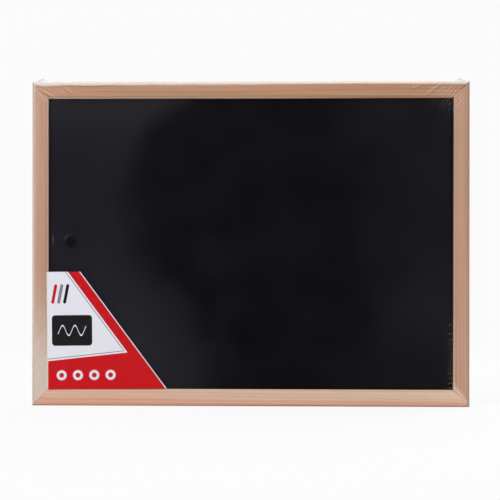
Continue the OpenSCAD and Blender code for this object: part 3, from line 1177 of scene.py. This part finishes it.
def film_skirt(share_x, share_z, front_y):
    """Loops of film from the front's rim round the outer edges to a lap on the back, and their haze, with
    painted highlight on the seams.

    A loop's points are shares of the half width and half height less its inset. Ears stand highest at
    half the depth.
    """
    wave_x, wave_z = LAP_WAVES
    lap = FILM_LAP + FILM_LAP_SWAY * np.sin(wave_x * share_x + LAP_PHASE) * np.cos(wave_z * share_z)
    round_y, back_y = WOOD_FRONT + OUTER_ROUND, WOOD_BACK - BACK_ROUND
    wrap = np.concatenate([
        arc((OUTER_ROUND, round_y), OUTER_ROUND + FILM_GAP, 270, 180, 9)[1:],
        np.linspace((-FILM_GAP, round_y), (-FILM_GAP, back_y), 12)[1:],
        arc((BACK_ROUND, back_y), BACK_ROUND + FILM_GAP, 180, 90, 6)[1:],
    ])
    inset = np.concatenate([wrap[:, :1].repeat(len(lap), axis=1), lap[None]])
    depth = np.concatenate([wrap[:, 1], [WOOD_BACK + FILM_GAP]])[:, None].repeat(len(lap), axis=1)
    fade = np.linspace(1, 0, LIFT_LOOPS)[:, None]
    depth[:LIFT_LOOPS] += fade * (front_y - WOOD_FRONT + FILM_GAP)
    x = share_x * (HALF_W - inset)
    z = share_z * (HALF_H - inset)
    on_top = share_z > 1 - ON_EDGE
    on_left = share_x < ON_EDGE - 1
    belly = np.sin(np.pi * np.clip((depth - WOOD_FRONT) / (WOOD_BACK - WOOD_FRONT), 0, 1))
    ears = np.zeros_like(x)
    for centre, half, height in EARS:
        ear = on_top * height * MM * np.clip(1 - np.abs(x / MM - centre) / half, 0, 1) * belly
        ears = np.maximum(ears, ear)
    left_seam = on_left * (1 - smooth(inset, *LEFT_SEAM_W))
    seams = np.maximum(TOP_SEAM_HAZE_AND_HIGHLIGHT * on_top * top_seam(x, inset)[0], LEFT_SEAM_HAZE_AND_HIGHLIGHT * left_seam)
    pale = SKIRT_HAZE + seams * np.where(depth < round_y, 1, SEAM_SIDE_SHARE)
    cool = EAR_HAZE * smooth(ears, 0, EAR_HAZY_H)
    none = np.zeros_like(x)
    return np.stack([x, depth, z + ears], axis=-1), np.stack([pale, none, none, cool], axis=-1)


def make_film(material):
    """Shrink film over the front, round the outer edges and a short way over the back.

    Its points hold their whole haze, and the mean of the four tints by their parts of it.
    """
    inner = np.array([HALF_W - OUTER_ROUND, HALF_H - OUTER_ROUND])
    front_xz, front_faces, rim = film_front(inner)
    x, z = front_xz.T
    height, front_layers = film_marks(x, z)
    y = WOOD_FRONT - FILM_GAP - card_lift(x, z) * (WOOD_FRONT - CARD_FRONT) - height
    share_x, share_z = (front_xz[rim] / inner).T
    skirt, skirt_layers = film_skirt(share_x, share_z, y[rim])
    skirt_index = np.vstack([rim, point_numbers(len(y), len(skirt), len(rim))])
    faces = np.concatenate([front_faces, bands(skirt_index)[:, ::-1]])
    used, faces = np.unique(faces, return_inverse=True)
    faces = faces.reshape(-1, 4).tolist()
    points = np.concatenate([np.stack([x, y, z], axis=1), skirt.reshape(-1, 3)])[used]
    piece = new_piece("shrink_film", points, faces, material, closed=False, sharp=FILM_SHARP)

    layers = np.concatenate([front_layers, skirt_layers.reshape(-1, 4)])[used]
    haze = layers.sum(axis=1)
    tint = layers / haze[:, None] @ FILM_TINTS
    tint = np.column_stack([tint, np.ones(len(tint))])
    held = piece.data.attributes.new("haze", "FLOAT", "POINT")
    held.data.foreach_set("value", haze.astype(np.float32))
    held = piece.data.attributes.new("tint", "FLOAT_COLOR", "POINT")
    held.data.foreach_set("color", tint.ravel().astype(np.float32))
    piece.visible_shadow = False
    dress(piece, "board", "clear_film")


# Stage

WHITE = 0.965
FLOOR_R = 1.3
FLOOR_LINES = 25
FLOOR_GREY = 0.9
FLOOR_GLOW = 0.88
FLOOR_FADE = (0.35, 1.1)
AMBIENT = 0.55

# Lamps: place, size and power
LAMPS = {
    "key": ((-0.9, -1.5, 1.3), 1.1, 17),
    "top": ((0.0, -0.25, 1.5), 1.0, 11),
    "back": ((0.8, 1.5, 0.9), 1.1, 16),
}


def make_floor():
    """A pale floor under the board, which fades in a circle into the white background."""
    tree = new_material("pale_floor")
    x, y, _ = tree.place().parts()
    fade = ((x * x + y * y) ** 0.5).rise(*FLOOR_FADE)
    seen = tree.node("ShaderNodeLightPath", {}, out=0)
    matt = tree.node("ShaderNodeBsdfDiffuse", {"Color": (FLOOR_GREY,) * 3})
    white = tree.node("ShaderNodeEmission", {"Color": (WHITE,) * 3})
    clear = tree.node("ShaderNodeBsdfTransparent", {})
    lit = tree.node("ShaderNodeMixShader", {0: seen * FLOOR_GLOW, 1: matt, 2: white})
    shader = tree.node("ShaderNodeMixShader", {0: fade, 1: lit, 2: clear})
    tree.node("ShaderNodeOutputMaterial", {0: shader})
    x, y = np.meshgrid(*[np.linspace(-FLOOR_R, FLOOR_R, FLOOR_LINES)] * 2)
    points = np.stack([x, y, np.full_like(x, -HALF_H - 2 * FILM_GAP)], axis=-1)
    floor = new_piece("floor", points, grid_quads(*x.shape).tolist(), tree.owner, closed=False)


def make_world():
    """White where it is seen, mirrored or looked through, and a soft light elsewhere."""
    world = bpy.data.worlds.new("studio")
    bpy.context.scene.world = world
    tree = Tree(world)
    ray = {wire.socket.name: wire for wire in tree.node("ShaderNodeLightPath", {}, out=None)}
    shown = ray["Is Camera Ray"].most(ray["Is Glossy Ray"]).most(ray["Is Transmission Ray"])
    sky = tree.node("ShaderNodeBackground", {
        "Color": (1.0, 1.0, 1.0),
        "Strength": AMBIENT + shown * (WHITE - AMBIENT),
    })
    tree.node("ShaderNodeOutputWorld", {0: sky})


def make_lamp(name, at, size, power):
    """A square soft box that faces the board."""
    light = bpy.data.lights.new(name, "AREA")
    light.size = size
    light.energy = power
    lamp = bpy.data.objects.new(name, light)
    bpy.context.scene.collection.objects.link(lamp)
    away = np.array(at) / np.linalg.norm(at)
    lamp.location = at
    lamp.rotation_euler = (math.acos(away[2]), 0, math.atan2(away[1], away[0]) + math.pi / 2)


def make_camera():
    """The camera of the picture."""
    data = bpy.data.cameras.new("camera")
    data.lens = CAMERA_LENS
    camera = bpy.data.objects.new("camera", data)
    camera.location = CAMERA_AT
    camera.rotation_euler = [math.radians(angle) for angle in CAMERA_TURN]
    bpy.context.scene.collection.objects.link(camera)
    bpy.context.scene.camera = camera


def main():
    """Sets the stage, gives every node of the part its looks and wraps the board in film."""
    bpy.context.scene.view_settings.view_transform = "Standard"
    make_camera()
    make_world()
    make_floor()
    for name, lamp in LAMPS.items():
        make_lamp(name, *lamp)

    make_rails()
    coat_node("writing_sheet", slate_finish())
    coat_node("core_board", hardboard_finish())
    nails = plated_finish("nail_steel", *NAIL_STEEL)
    for corner in ("top_right", "bottom_right", "bottom_left", "top_left"):
        coat_node(corner + "_nails", nails)
    plate = plated_finish("zinc_plate", *ZINC_PLATE)
    wire = plated_finish("zinc_wire", *ZINC_WIRE)
    for side in ("left", "right"):
        make_ring(side, side + "_hanger_ring", wire)
        make_strap(side, side + "_hanger_ring", plate)
        make_screw(side, plate)
    make_card(card_finish())
    make_film(film_finish())


main()
